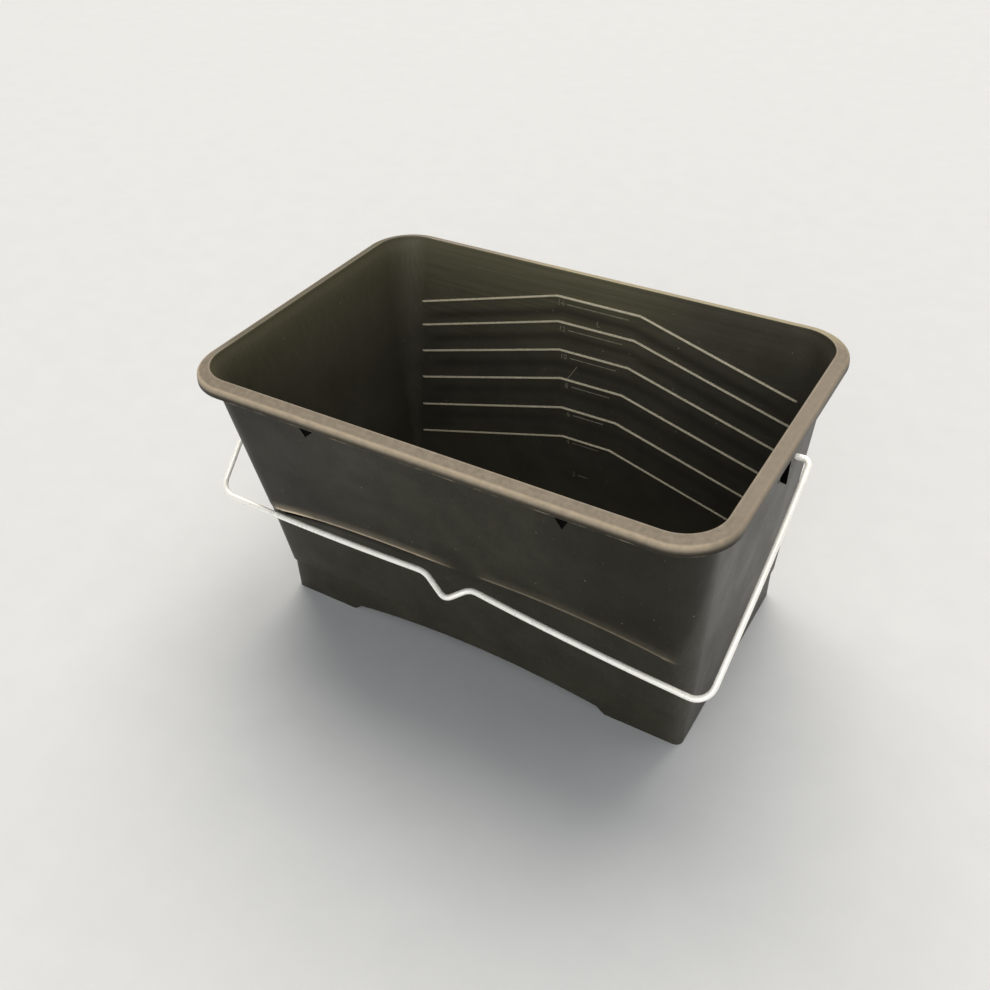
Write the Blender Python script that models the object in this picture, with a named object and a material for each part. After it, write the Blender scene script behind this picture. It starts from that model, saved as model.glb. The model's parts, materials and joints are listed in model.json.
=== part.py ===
"""Roller scuttle: a deep rectangular plastic tub with a stiff flanged rim and a wire bail.

The tub tapers to a smaller base, so that empty tubs nest. Six ribs on the inside of the rear
wall wipe a paint roller. The bail hangs in two lugs under the rim and swings over the top.
Metres, +Z up, +X along the long side, -Y the front. The feet stand on Z = 0, and the centre
of the rim is on the Z axis.
"""
import math

import bmesh
import bpy
from mathutils import Vector

# ---------------------------------------------------------------- driving dimensions
INNER_LENGTH = 0.376        # mouth, between the rim's inner edges
INNER_DEPTH = 0.246
INNER_CORNER = 0.028        # radius of the mouth's corners
HEIGHT = 0.2271             # feet to the top of the rim
RIM_WIDTH = 0.0099          # inner edge to outer face
SKIRT_DROP = 0.0095         # how far the rim's skirt hangs down
SKIRT_WALL = 0.0018
LEDGE_DROP = 0.0085         # where the walls end and the rim's flange begins
WALL = 0.0021

WALL_TOP_INSET = 0.0008     # outer wall face inside the rim's inner edge, at the ledge
BASE_HALF_LENGTH = 0.1713   # outer faces of the walls carried down to Z = 0
BASE_REAR = 0.0960
BASE_CORNER = 0.006
FRONT_UPPER_SLOPE = 0.2125  # inward run per unit of drop, above the crease
FRONT_LOWER_SLOPE = 0.1795
CREASE_HEIGHT = 0.0966      # at the ends of the front wall's arched crease
CREASE_RISE = 0.0115        # how much higher the crease is in the middle
CREASE_HALF = 0.160         # half the arch's span
CREASE_STEP = 0.0008
MIDDLE_HEIGHT = 0.164       # a level row of wall points between crease and rim
PLINTH_HEIGHT = 0.0309
PLINTH_STEP = 0.0013
PLINTH_SLOPE = 0.03

FOOT_INNER = 0.112          # a foot's end, from the middle of the long side
FOOT_RAMP = 0.106
ARCH_START = 0.0055
ARCH_HEIGHT = 0.0145
FLOOR_UNDERSIDE = 0.0170
FLOOR_TOP = 0.0195
FLOOR_FILLET = 0.006

RIB_DROPS = (0.0210, 0.0415, 0.0650, 0.0895, 0.1154, 0.1416)   # rib centres below the rim
RIB_END = 0.164             # half the length of a rib
RIB_TOP_HALF = 0.036        # half the level middle stretch of the top rib
RIB_HALF_STEP = 0.0028      # each rib's middle is shorter by this
RIB_SLOPE = 0.271
RIB_WIDTH = 0.0018
RIB_PROUD = 0.0013

POCKET_X = 0.096            # notches under the front rim
POCKET_HALF = 0.0085
POCKET_TIP_DROP = 0.030
POCKET_SINK = 0.0012
POCKET_DEPTH = 0.008        # cutter's reach towards the front

PIVOT_DROP = 0.018          # bail axis below the rim
LUG_RADIUS = 0.0075
LUG_FACE = 0.1962           # outer face of a lug
LUG_TOP_DROP = 0.0088       # the lugs start just under the rim's flange
WEB_REACH = 0.030           # gusset beside the lug, towards the front
WEB_TIP_DROP = 0.036
WEB_END_DROP = 0.0175       # the gusset's free corner
WEB_EDGE = 0.0018           # its rim, around the hollow
HOLLOW_START = 0.1895
PIN_HOLE_RADIUS = 0.0024
PIN_HOLE_END = 0.1895
PIN_END = 0.1905
CUTTER_LENGTH = 0.012       # of the cutters that enter a lug from outside

WIRE_RADIUS = 0.0021
ARM_X = 0.2056              # wire centre line at the pivots
ARM_BOW = 0.0070            # the arms lean inward by this at the bar
ARM_BOW_POWER = 1.4
BAIL_ANGLE = math.radians(40.5)     # below level, at rest
RIGHT_REACH = 0.1630        # pivot axis to bar; the bail is bent a little askew
LEFT_REACH = 0.1512
BAR_BOW = 0.0012            # each half of the bar bows outward
KINK_REACH = 0.1506         # where the bar turns into the kink
KINK_LEFT_X = -0.0123
KINK_RIGHT_X = 0.0244
KINK_TIP_X = 0.0095
KINK_TIP_REACH = 0.1631
BAR_BEND = 0.011
KINK_BEND = 0.005
PIN_BEND = 0.0045

# ---------------------------------------------------------------- mesh resolution
CORNER_STEPS = 8
LONG_STATIONS = (0.14, FOOT_INNER, FOOT_RAMP, 0.088, 0.066, 0.044, 0.022)
SHORT_STATIONS = (0.06, 0.0)
WIRE_BEVEL_RESOLUTION = 4
BEND_STEPS = 5

# The rim's section, from under its flange round the skirt and over the top to the mouth, as
# (distance outside the mouth's edge, drop below the rim's top).
RIM_PROFILE = (
    (0.0021, 0.0073),
    (0.0024, 0.0042),
    (RIM_WIDTH - SKIRT_WALL - 0.0004, 0.0058),
    (RIM_WIDTH - SKIRT_WALL, SKIRT_DROP),
    (RIM_WIDTH - 0.0005, SKIRT_DROP),
    (RIM_WIDTH, SKIRT_DROP - 0.0006),
    (RIM_WIDTH, 0.0046),
    (RIM_WIDTH - 0.0007, 0.0031),
    (RIM_WIDTH - 0.0024, 0.0021),
    (0.0014, 0.0005),
    (0.0005, 0.0),
    (0.0, 0.0004),
    (-0.0006, 0.0044),
)

HALF_LENGTH = INNER_LENGTH / 2
HALF_DEPTH = INNER_DEPTH / 2
WALL_TOP = HEIGHT - LEDGE_DROP
PIVOT_Z = HEIGHT - PIVOT_DROP

COLOURS = {
    "tub": ((0.045, 0.042, 0.036, 1.0), 0.45, 0.0),
    "wire_handle": ((0.72, 0.70, 0.66, 1.0), 0.32, 1.0),
}


def material(name):
    colour, roughness, metallic = COLOURS[name]
    made = bpy.data.materials.new(name)
    made.use_nodes = True
    shader = made.node_tree.nodes["Principled BSDF"]
    shader.inputs["Base Color"].default_value = colour
    shader.inputs["Roughness"].default_value = roughness
    shader.inputs["Metallic"].default_value = metallic
    made.diffuse_color = colour
    return made


def add_object(name, data):
    made = bpy.data.objects.new(name, data)
    bpy.context.collection.objects.link(made)
    return made


def mesh_object(name, bm):
    bmesh.ops.recalc_face_normals(bm, faces=bm.faces)
    data = bpy.data.meshes.new(name)
    bm.to_mesh(data)
    bm.free()
    return add_object(name, data)


def helper(name, bm):
    made = mesh_object(name, bm)
    made.hide_render = True
    made.display_type = "WIRE"
    return made


def combine(target, tool, operation):
    modifier = target.modifiers.new(tool.name, "BOOLEAN")
    modifier.operation = operation
    modifier.object = tool
    modifier.solver = "EXACT"


# ---------------------------------------------------------------- the tub's walls
def side_half_length(z):
    top = HALF_LENGTH - WALL_TOP_INSET
    return BASE_HALF_LENGTH + (top - BASE_HALF_LENGTH) * z / WALL_TOP


def rear_y(z):
    top = HALF_DEPTH - WALL_TOP_INSET / 2
    return BASE_REAR + (top - BASE_REAR) * z / WALL_TOP


def front_upper_y(z):
    return -HALF_DEPTH + FRONT_UPPER_SLOPE * (WALL_TOP - z)


def front_lower_y(z):
    at_crease = front_upper_y(CREASE_HEIGHT) + CREASE_STEP
    return at_crease + FRONT_LOWER_SLOPE * (CREASE_HEIGHT - z)


def wall_corner(z):
    return BASE_CORNER + (INNER_CORNER - BASE_CORNER) * z / WALL_TOP


def crease_lift(x):
    """Height of the arched crease above its ends."""
    across = min(1.0, abs(x) / CREASE_HALF)
    return CREASE_RISE * (1 - across ** 3)


def arch_lift(x):
    """Clearance under the long walls between the feet."""
    if abs(x) >= FOOT_INNER:
        return 0.0
    if abs(x) > FOOT_RAMP:
        return ARCH_START * (FOOT_INNER - abs(x)) / (FOOT_INNER - FOOT_RAMP)
    return ARCH_START + (ARCH_HEIGHT - ARCH_START) * (1 - (x / FOOT_RAMP) ** 2)


def loop_points(half_length, front, rear, radius, z, long_lift=None):
    """A rounded rectangle, anticlockwise from the front right corner.

    Every loop has its points at the same stations, so that loops join column to column.
    long_lift(x) raises the points along the two long sides.
    """
    def lifted(x):
        return z + (long_lift(x) if long_lift else 0.0)

    def corner(centre_x, centre_y, start):
        for step in range(CORNER_STEPS + 1):
            angle = math.radians(start + 90 * step / CORNER_STEPS)
            yield Vector((centre_x + radius * math.cos(angle), centre_y + radius * math.sin(angle), z))

    stations = [-x for x in LONG_STATIONS] + [0.0] + list(reversed(LONG_STATIONS))
    shorts = [-y for y in SHORT_STATIONS] + [SHORT_STATIONS[0]]
    middle = (front + rear) / 2
    points = [Vector((x, front, lifted(x))) for x in stations]
    points += corner(half_length - radius, front + radius, -90)
    points += [Vector((half_length, middle + y, z)) for y in shorts]
    points += corner(half_length - radius, rear - radius, 0)
    points += [Vector((x, rear, lifted(x))) for x in reversed(stations)]
    points += corner(-half_length + radius, rear - radius, 90)
    points += [Vector((-half_length, middle - y, z)) for y in shorts]
    points += corner(-half_length + radius, front + radius, 180)
    return points


def wall_loop(z, inset=0.0, front=None, step=0.0, long_lift=None):
    """A level loop on the tub's wall, inset from its outer faces."""
    front = front or (front_upper_y if z > CREASE_HEIGHT else front_lower_y)
    inset += step
    return loop_points(side_half_length(z) - inset, front(z) + inset, rear_y(z) - inset,
                       max(wall_corner(z) - inset, 0.0035), z, long_lift)


def crease_loop(front, drop):
    """The loop along the front wall's crease: its front points climb with the arch."""
    z = CREASE_HEIGHT - drop
    points = wall_loop(z, front=front)
    for index in range(2 * len(LONG_STATIONS) + 1):
        point = points[index]
        point.z = z + crease_lift(point.x)
        point.y = front(point.z) + (CREASE_STEP * 0.4 if front is front_lower_y else 0.0)
    return points


def rim_loop(width, drop):
    """A level loop on the rim, at a distance outside the mouth's edge."""
    return loop_points(HALF_LENGTH + width, -HALF_DEPTH - width, HALF_DEPTH + width,
                       INNER_CORNER + width, HEIGHT - drop)


def plinth_loop(z, inset=0.0, long_lift=None):
    below = PLINTH_HEIGHT - z
    extra = PLINTH_STEP + PLINTH_SLOPE * below
    base = PLINTH_HEIGHT
    return loop_points(side_half_length(base) - extra - inset, front_lower_y(base) + extra + inset,
                       rear_y(base) - extra - inset,
                       max(wall_corner(z) - inset, 0.003), z, long_lift)


def tub_loops():
    """The tub's skin from the underside of its floor, out, up, over the rim and in."""
    loops = [
        plinth_loop(FLOOR_UNDERSIDE, WALL),
        plinth_loop(0.0, WALL, arch_lift),
        plinth_loop(0.0, 0.0, arch_lift),
        plinth_loop(PLINTH_HEIGHT - 0.003),
        wall_loop(PLINTH_HEIGHT + 0.0015),
        crease_loop(front_lower_y, 0.0015),
        crease_loop(front_upper_y, 0.0),
        wall_loop(MIDDLE_HEIGHT),
        wall_loop(WALL_TOP - 0.0022),
    ]
    loops += [rim_loop(width, drop) for width, drop in RIM_PROFILE]
    loops += [
        wall_loop(WALL_TOP - 0.0005, WALL),
        wall_loop(MIDDLE_HEIGHT, WALL),
        wall_loop(CREASE_HEIGHT + 0.002, WALL),
        wall_loop(PLINTH_HEIGHT + 0.006, WALL + 0.0004),
        wall_loop(FLOOR_TOP + FLOOR_FILLET, WALL + PLINTH_STEP + 0.0006),
    ]
    for step in range(1, 4):
        angle = math.radians(30 * step)
        inset = WALL + PLINTH_STEP + 0.0006 + FLOOR_FILLET * (1 - math.cos(angle))
        loops.append(wall_loop(FLOOR_TOP + FLOOR_FILLET * (1 - math.sin(angle)), inset))
    return loops


def build_shell():
    bm = bmesh.new()
    rings = [[bm.verts.new(point) for point in loop] for loop in tub_loops()]
    for lower, upper in zip(rings, rings[1:]):
        for index in range(len(lower)):
            after = (index + 1) % len(lower)
            bm.faces.new((lower[index], lower[after], upper[after], upper[index]))
    bm.faces.new(list(reversed(rings[0])))
    bm.faces.new(rings[-1])
    return mesh_object("tub", bm)


# ---------------------------------------------------------------- details on the tub
def prism(near_outline, far_outline):
    """A closed solid between two matching flat outlines."""
    bm = bmesh.new()
    near = [bm.verts.new(point) for point in near_outline]
    far = [bm.verts.new(point) for point in far_outline]
    bm.faces.new(near)
    bm.faces.new(list(reversed(far)))
    for index in range(len(near)):
        after = (index + 1) % len(near)
        bm.faces.new((near[index], far[index], far[after], near[after]))
    return bm


def rib_outline(drop, half):
    """The chevron of one rib, as (x, z) points: level in the middle, falling to both ends."""
    top = HEIGHT - drop
    ends = top - RIB_SLOPE * (RIB_END - half)
    line = [(-RIB_END, ends), (-half, top), (half, top), (RIB_END, ends)]
    upper = [(x, z + RIB_WIDTH / 2) for x, z in line]
    lower = [(x, z - RIB_WIDTH / 2) for x, z in reversed(line)]
    return upper + lower


def build_ribs():
    """The roller ribs, sunk a little into the rear wall's inner face."""
    bm = bmesh.new()
    for number, drop in enumerate(RIB_DROPS):
        outline = rib_outline(drop, RIB_TOP_HALF - number * RIB_HALF_STEP)
        front_face, back_face = [], []
        for x, z in outline:
            face_y = rear_y(z) - WALL
            front_face.append(bm.verts.new((x, face_y - RIB_PROUD, z)))
            back_face.append(bm.verts.new((x, face_y + WALL * 0.4, z)))
        count = len(outline)
        for column in range(3):
            corners = (column, column + 1, count - 2 - column, count - 1 - column)
            bm.faces.new([front_face[index] for index in corners])
            bm.faces.new([back_face[index] for index in reversed(corners)])
        for index in range(count):
            after = (index + 1) % count
            bm.faces.new((front_face[index], back_face[index], back_face[after], front_face[after]))
    return helper("rib_blank", bm)


def pocket_cutter(centre_x):
    """A notch under the front rim: a triangle, point down, sunk into the wall."""
    low = HEIGHT - POCKET_TIP_DROP
    high = HEIGHT - LEDGE_DROP - 0.002
    near, far = [], []
    for x, z in ((centre_x, low), (centre_x + POCKET_HALF, high), (centre_x - POCKET_HALF, high)):
        near.append((x, front_upper_y(z) + POCKET_SINK, z))
        far.append((x, front_upper_y(z) + POCKET_SINK - POCKET_DEPTH, z))
    return helper("pocket_cutter", prism(near, far))


def lug_outline():
    """A lug and its gusset seen from the side, as (y, z) points."""
    end = -WEB_REACH - WEB_EDGE
    points = [(LUG_RADIUS, HEIGHT - LUG_TOP_DROP), (end, HEIGHT - LUG_TOP_DROP)]
    points.append((end, HEIGHT - WEB_END_DROP))
    points.append((-LUG_RADIUS, HEIGHT - WEB_TIP_DROP))
    for step in range(9):
        angle = math.radians(-180 + 22.5 * step)
        points.append((LUG_RADIUS * math.cos(angle), PIVOT_Z + LUG_RADIUS * math.sin(angle)))
    return points


def build_lug(side):
    """The blank's inner end follows the slope of the wall that it grows from."""
    near = [(side * (side_half_length(z) - WALL / 2), y, z) for y, z in lug_outline()]
    far = [(side * LUG_FACE, y, z) for y, z in lug_outline()]
    return helper("lug_blank", prism(near, far))


def gusset_hollow(side):
    """The dark hollow between a lug and its gusset's edge."""
    lug_side = -LUG_RADIUS - WEB_EDGE
    top = HEIGHT - LUG_TOP_DROP - WEB_EDGE
    low_tip = HEIGHT - WEB_TIP_DROP + 2 * WEB_EDGE
    inner = [(lug_side, top), (-WEB_REACH, top), (-WEB_REACH, HEIGHT - WEB_END_DROP), (lug_side, low_tip)]
    near = [(side * HOLLOW_START, y, z) for y, z in inner]
    far = [(side * (HOLLOW_START + CUTTER_LENGTH), y, z) for y, z in inner]
    return helper("gusset_cutter", prism(near, far))


def pin_hole(side):
    bm = bmesh.new()
    bmesh.ops.create_cone(bm, cap_ends=True, segments=24, radius1=PIN_HOLE_RADIUS,
                          radius2=PIN_HOLE_RADIUS, depth=CUTTER_LENGTH)
    turned = Vector((0, 0, 1)).rotation_difference(Vector((1, 0, 0))).to_matrix()
    bmesh.ops.rotate(bm, verts=bm.verts, matrix=turned)
    centre = side * (PIN_HOLE_END + CUTTER_LENGTH / 2)
    bmesh.ops.translate(bm, verts=bm.verts, vec=(centre, 0, PIVOT_Z))
    return helper("pin_cutter", bm)


def build_tub():
    tub = build_shell()
    combine(tub, build_ribs(), "UNION")
    for side in (-1, 1):
        combine(tub, build_lug(side), "UNION")
        combine(tub, gusset_hollow(side), "DIFFERENCE")
        combine(tub, pin_hole(side), "DIFFERENCE")
        combine(tub, pocket_cutter(side * POCKET_X), "DIFFERENCE")
    tub.data.materials.append(material("tub"))
    return tub


# ---------------------------------------------------------------- the wire handle
def rounded_path(corners):
    """Points of a path whose corners, given as (x, reach, bend radius), are rounded."""
    path = [Vector(corners[0][:2])]
    for before, here, after in zip(corners, corners[1:], corners[2:]):
        middle = Vector(here[:2])
        into = (middle - Vector(before[:2])).normalized()
        out = (Vector(after[:2]) - middle).normalized()
        turn = into.angle_signed(out)
        if here[2] == 0:
            path.append(middle)
            continue
        trim = here[2] * math.tan(abs(turn) / 2)
        start = middle - into * trim
        side = math.copysign(1, turn)
        centre = start + Vector((into.y, -into.x)) * side * here[2]
        for step in range(BEND_STEPS + 1):
            arm = start - centre
            angle = -turn * step / BEND_STEPS
            turned = Vector((arm.x * math.cos(angle) - arm.y * math.sin(angle),
                             arm.x * math.sin(angle) + arm.y * math.cos(angle)))
            path.append(centre + turned)
    path.append(Vector(corners[-1][:2]))
    return path


def arm_corners(side, reach):
    """Pin, bend and bowed arm of one side, ending at the bar's corner."""
    corners = [(side * PIN_END, 0.0, 0), (side * ARM_X, 0.0, PIN_BEND)]
    for part in (0.2, 0.4, 0.6, 0.8):
        corners.append((side * (ARM_X - ARM_BOW * part ** ARM_BOW_POWER), reach * part, 0))
    corners.append((side * (ARM_X - ARM_BOW), reach, BAR_BEND))
    return corners


def bar_corners(kink_x, side, reach):
    """Points of one half of the bar, bowed outward between the kink and its far corner."""
    corners = []
    for part in (0.2, 0.4, 0.6, 0.8):
        x = kink_x + (side * (ARM_X - ARM_BOW) - kink_x) * part
        bowed = KINK_REACH + (reach - KINK_REACH) * part + BAR_BOW * 4 * part * (1 - part)
        corners.append((x, bowed, 0))
    return corners


def handle_path():
    """The wire's centre line from the left pin to the right one, as (x, reach) points."""
    corners = arm_corners(-1, LEFT_REACH)
    corners += reversed(bar_corners(KINK_LEFT_X, -1, LEFT_REACH))
    corners.append((KINK_LEFT_X, KINK_REACH, KINK_BEND))
    corners.append((KINK_TIP_X, KINK_TIP_REACH, KINK_BEND))
    corners.append((KINK_RIGHT_X, KINK_REACH, KINK_BEND))
    corners += bar_corners(KINK_RIGHT_X, 1, RIGHT_REACH)
    corners += reversed(arm_corners(1, RIGHT_REACH))
    return rounded_path(corners)


def build_handle():
    """One bent wire: both pins lie on the pivot axis, the rest in a plane through it."""
    data = bpy.data.curves.new("wire_handle", "CURVE")
    data.dimensions = "3D"
    data.bevel_depth = WIRE_RADIUS
    data.bevel_resolution = WIRE_BEVEL_RESOLUTION
    data.use_fill_caps = True
    path = handle_path()
    spline = data.splines.new("POLY")
    spline.points.add(len(path) - 1)
    for point, (x, reach) in zip(spline.points, path):
        y = -reach * math.cos(BAIL_ANGLE)
        z = -reach * math.sin(BAIL_ANGLE)
        point.co = (x, y, z, 1)
    handle = add_object("wire_handle", data)
    handle.location = (0, 0, PIVOT_Z)
    data.materials.append(material("wire_handle"))
    return handle


def main():
    for old in list(bpy.data.objects):
        bpy.data.objects.remove(old)
    build_tub()
    build_handle()


main()
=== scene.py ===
"""Looks of the roller scuttle: the fine moulding of the tub, its bent wire bail, and a studio.

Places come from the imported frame. Metres, +Z up, +X along the tub's long side, -Y the front.
"""
import json
import math

import bmesh
import bpy
from mathutils import Matrix, Vector


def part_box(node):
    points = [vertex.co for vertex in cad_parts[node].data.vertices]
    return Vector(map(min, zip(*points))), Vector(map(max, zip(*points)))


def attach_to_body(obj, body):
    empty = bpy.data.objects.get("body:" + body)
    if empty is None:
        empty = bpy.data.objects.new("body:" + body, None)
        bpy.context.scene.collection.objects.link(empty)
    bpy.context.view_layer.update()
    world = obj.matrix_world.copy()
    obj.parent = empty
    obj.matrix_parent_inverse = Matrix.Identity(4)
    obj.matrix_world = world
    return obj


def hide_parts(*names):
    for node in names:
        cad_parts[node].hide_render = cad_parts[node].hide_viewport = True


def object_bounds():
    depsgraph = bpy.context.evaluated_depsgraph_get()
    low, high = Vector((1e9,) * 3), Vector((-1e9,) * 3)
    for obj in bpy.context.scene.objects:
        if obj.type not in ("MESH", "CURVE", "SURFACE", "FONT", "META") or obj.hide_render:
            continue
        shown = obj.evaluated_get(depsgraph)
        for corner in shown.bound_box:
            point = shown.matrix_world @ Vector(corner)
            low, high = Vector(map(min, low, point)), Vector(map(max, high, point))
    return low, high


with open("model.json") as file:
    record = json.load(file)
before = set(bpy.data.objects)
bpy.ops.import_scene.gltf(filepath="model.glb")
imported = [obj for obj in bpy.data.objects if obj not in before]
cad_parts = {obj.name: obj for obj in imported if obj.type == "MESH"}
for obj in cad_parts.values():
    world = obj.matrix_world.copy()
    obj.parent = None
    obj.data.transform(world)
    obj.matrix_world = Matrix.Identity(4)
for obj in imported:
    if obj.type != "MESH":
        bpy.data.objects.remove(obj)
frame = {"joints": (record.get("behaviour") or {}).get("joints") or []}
CAD_LOW, CAD_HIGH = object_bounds()
TUB_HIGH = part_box("tub")[1]
PIVOT = Vector(frame["joints"][0]["pos_m"])

# ---------------------------------------------------------------- the tub's sizes
HEIGHT = TUB_HIGH.z
RIM_WIDTH = 0.0099
HALF_LENGTH = TUB_HIGH.x - RIM_WIDTH
HALF_DEPTH = TUB_HIGH.y - RIM_WIDTH
INNER_CORNER = 0.028
SKIRT_DROP = 0.0095
SKIRT_WALL = 0.0018
LEDGE_DROP = 0.0085
WALL = 0.0021
WALL_TOP = HEIGHT - LEDGE_DROP
WALL_TOP_INSET = 0.0008
WALL_TOP_THIN = 0.0011      # how much thinner the walls are where they meet the rim
WALL_THIN_REACH = 0.050
BASE_HALF_LENGTH = 0.1713
BASE_REAR = 0.0960
BASE_CORNER = 0.006
INNER_CORNER_LEAST = 0.0035
PLINTH_CORNER_LEAST = 0.003
FRONT_UPPER_SLOPE = 0.2125
FRONT_LOWER_SLOPE = 0.1795
PANEL_SAG = 0.0007          # the long walls are drawn in by this in their middle

CREASE_HEIGHT = 0.0957
CREASE_RISE = 0.0115
CREASE_SKEW = 0.0034        # the crease's right half sits that much higher
SKEW_START = -0.030         # from here to SKEW_END it climbs by that
SKEW_END = 0.075
CREASE_HALF = 0.160
CREASE_FADE = (CREASE_HALF + 0.001, CREASE_HALF + 0.006)
CREASE_STEP = 0.0008        # the wall steps in by this under the crease
STEP_HEIGHT = 0.0012
BEAD_PROUD = 0.0011         # swelling of the panel just above the crease
BEAD_REACH = 0.013
GROOVE_DEPTH = 0.0011       # shadow groove under the crease's left half
GROOVE_FADE = (-0.150, -0.020)      # from full on the left to nothing
GROOVE_FULL = 0.0014                # it is full from this far under the crease
GROOVE_FOOT = (0.0016, 0.0050)      # and runs out between these
PLINTH_HEIGHT = 0.0309
PLINTH_STEP = 0.0013
PLINTH_SLOPE = 0.03
FOOT_INNER = 0.112
FOOT_RAMP = 0.106
ARCH_START = 0.0055
ARCH_HEIGHT = 0.0145
ARCH_FADE_HEIGHT = PLINTH_HEIGHT * 0.8      # rings above this are level
FLOOR_UNDERSIDE = 0.0170
FLOOR_TOP = 0.0195
FLOOR_FILLET = 0.006

# The rim's section, from under its flange round the skirt and over the top to the mouth, as
# (distance outside the mouth's edge, drop below the rim's top, rounding radius).
RIM_SECTION = (
    (0.0022, 0.0078, 0.0),
    (0.0024, 0.0044, 0.0012),
    (RIM_WIDTH - SKIRT_WALL, 0.0057, 0.0010),
    (RIM_WIDTH - SKIRT_WALL, SKIRT_DROP, 0.0003),
    (RIM_WIDTH, SKIRT_DROP, 0.0006),
    (RIM_WIDTH, 0.0072, 0.0020),
    (RIM_WIDTH - 0.0004, 0.0028, 0.0036),
    (0.0034, 0.0009, 0.0060),
    (0.0014, 0.0001, 0.0010),
    (0.0001, 0.0, 0.0008),
    (-0.0003, 0.0030, 0.0030),
    (-0.0016, 0.0082, 0.0),
)

RIB_DROPS = (0.0210, 0.0415, 0.0650, 0.0895, 0.1154, 0.1416)
RIB_END = 0.164
RIB_TOP_HALF = 0.036
RIB_HALF_STEP = 0.0028
RIB_SLOPE = 0.271
RIB_WIDTH = 0.0016
RIB_PROUD = 0.0015
RIB_FULLNESS = 0.6          # a power below 1 makes the section fuller than a half circle
RIB_TAPER = 0.0025          # over this length a rib's ends sink into the wall
RIB_BLUNT = 0.0004
# The ribs' painted shadow: a darker band under each rib, this far down and this wide.
RIB_SHADOW_DROP = 0.0115      # a dull band runs that far under each rib
RIB_SHADOW_HALF = 0.0065

MARK_DROPS = (0.0263, 0.0472, 0.0703, 0.0949, 0.1200, 0.1455, 0.1747)
MARK_HALF_LENGTHS = (0.0265, 0.0237, 0.0205, 0.0173, 0.0140, 0.0125, 0.0047)
MARK_LITRES = (14, 12, 10, 8, 6, 4, 2)
# A mark line's section, as (height, how proud it is), in shares of the two sizes below.
MARK_SECTION = ((-0.5, -0.6), (-0.5, 0.6), (-0.25, 1.0), (0.25, 1.0), (0.5, 0.6), (0.5, -0.6))
MARK_PROUD = 0.0004
MARK_WIDTH = 0.0007
NUMERAL_SIZE = 0.0062
NUMERAL_GAP = 0.0025        # between a figure and its line
UNIT_X = 0.003
UNIT_DROP = 0.03625

# Notches under the front rim, as (left corner, tip, right corner, the tip's drop).
NOTCHES = ((-0.1052, -0.0983, -0.0774, 0.0293), (0.0867, 0.0955, 0.1070, 0.0308))
NOTCH_SINK = 0.0009
NOTCH_TOP_GAP = 0.001       # between a notch and the rim's ledge

SCRATCH = ((-0.013, 0.075), (-0.024, 0.093))    # its ends on the rear wall, as (x, drop)
SCRATCH_WIDTH = 0.0005

LUG_RADIUS = 0.0075
LUG_FACE = 0.1962
LUG_TOP_DROP = 0.0088
LUG_EDGE_ROUND = 0.0005
WEB_REACH = 0.030
WEB_TIP_DROP = 0.036
WEB_END_DROP = 0.0175
WEB_EDGE = 0.0018
HOLLOW_START = 0.1892
HOLLOW_LEAN = 0.0025
CUTTER_OVERSHOOT = 0.004
PIN_HOLE_RADIUS = 0.0024
PIN_HOLE_END = 0.1895
PIN_HOLE_SIDES = 32

# ---------------------------------------------------------------- the bail's sizes
WIRE_RADIUS = 0.0021
PIN_END = 0.1905
ARM_X = 0.2056
ARM_BOW = 0.0070
ARM_BOW_POWER = 1.4
BAIL_ANGLE = math.radians(40.5)
RIGHT_REACH = 0.1630
LEFT_REACH = 0.1512
BAR_BOW = 0.0012
KINK_REACH = 0.1506
KINK_LEFT_X = -0.0123
KINK_RIGHT_X = 0.0244
KINK_TIP_X = 0.0095
KINK_TIP_REACH = 0.1631
BAR_BEND = 0.0125
KINK_BENDS = (0.020, 0.007, 0.012)
PIN_BEND = 0.0045
FLATTENED_BY_BEND = 0.06    # the share that a bend takes off the wire, for each radian
MOST_FLATTENED = 0.05
CUT_END_WIDTH = 0.78        # the chamfered ends' width, as a share of the wire's
BOW_SHARES = [step / 20 for step in range(2, 16)]   # where a bowed stretch has points

# ---------------------------------------------------------------- mesh resolution
SHARP_TURN = math.radians(38)           # edges that turn more are shaded sharp
WIRE_SHARP_TURN = math.radians(50)
WIRE_SIDES = 24
WIRE_SPACING = 0.0016
CORNER_STEPS = 20
RIB_STEPS = 120
RIB_ARC_STEPS = 8
MARK_STEPS = 12
LUG_STEPS = 24
FILLET_STEPS = 8
LONG_SPACING = 0.006
LONG_LIMIT = 0.156
SHORT_STATIONS = 25
ROUNDING_STEPS = 5

# ---------------------------------------------------------------- studio
CAMERA_TARGET = Vector((-0.01428, -0.01786, 0.110))
CAMERA_AZIMUTH = 32.526
CAMERA_ELEVATION = 38.632
CAMERA_ROLL = -2.434
CAMERA_DISTANCE = 0.7982
CAMERA_LENS = 38.77
CAMERA_SENSOR = 36.0
FLOOR_RADIUS = 6.0
# Lights, as (name, azimuth, elevation, width in degrees of sky, radiance, colour).
LIGHTS = (
    ("back_panel", 202, 55, 60, 5.6, (1.0, 0.93, 0.81)),
    ("overhead_panel", 125, 68, 40, 2.2, (1.0, 0.97, 0.90)),
    ("front_panel", 18, 30, 60, 2.0, (1.0, 0.985, 0.93)),
)
WORLD_COLOUR = (0.98, 0.99, 1.0, 1)
WORLD_STRENGTH = 0.30


# ================================================================ meshes
def mesh_piece(name, bm, sharp_turn=SHARP_TURN):
    """A smooth-shaded object, its faces pointing out, sharp where it turns more than that."""
    bmesh.ops.recalc_face_normals(bm, faces=bm.faces)
    data = bpy.data.meshes.new(name)
    bm.to_mesh(data)
    bm.free()
    data.shade_smooth()
    data.set_sharp_from_angle(angle=sharp_turn)
    made = bpy.data.objects.new(name, data)
    bpy.context.collection.objects.link(made)
    return made


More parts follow.
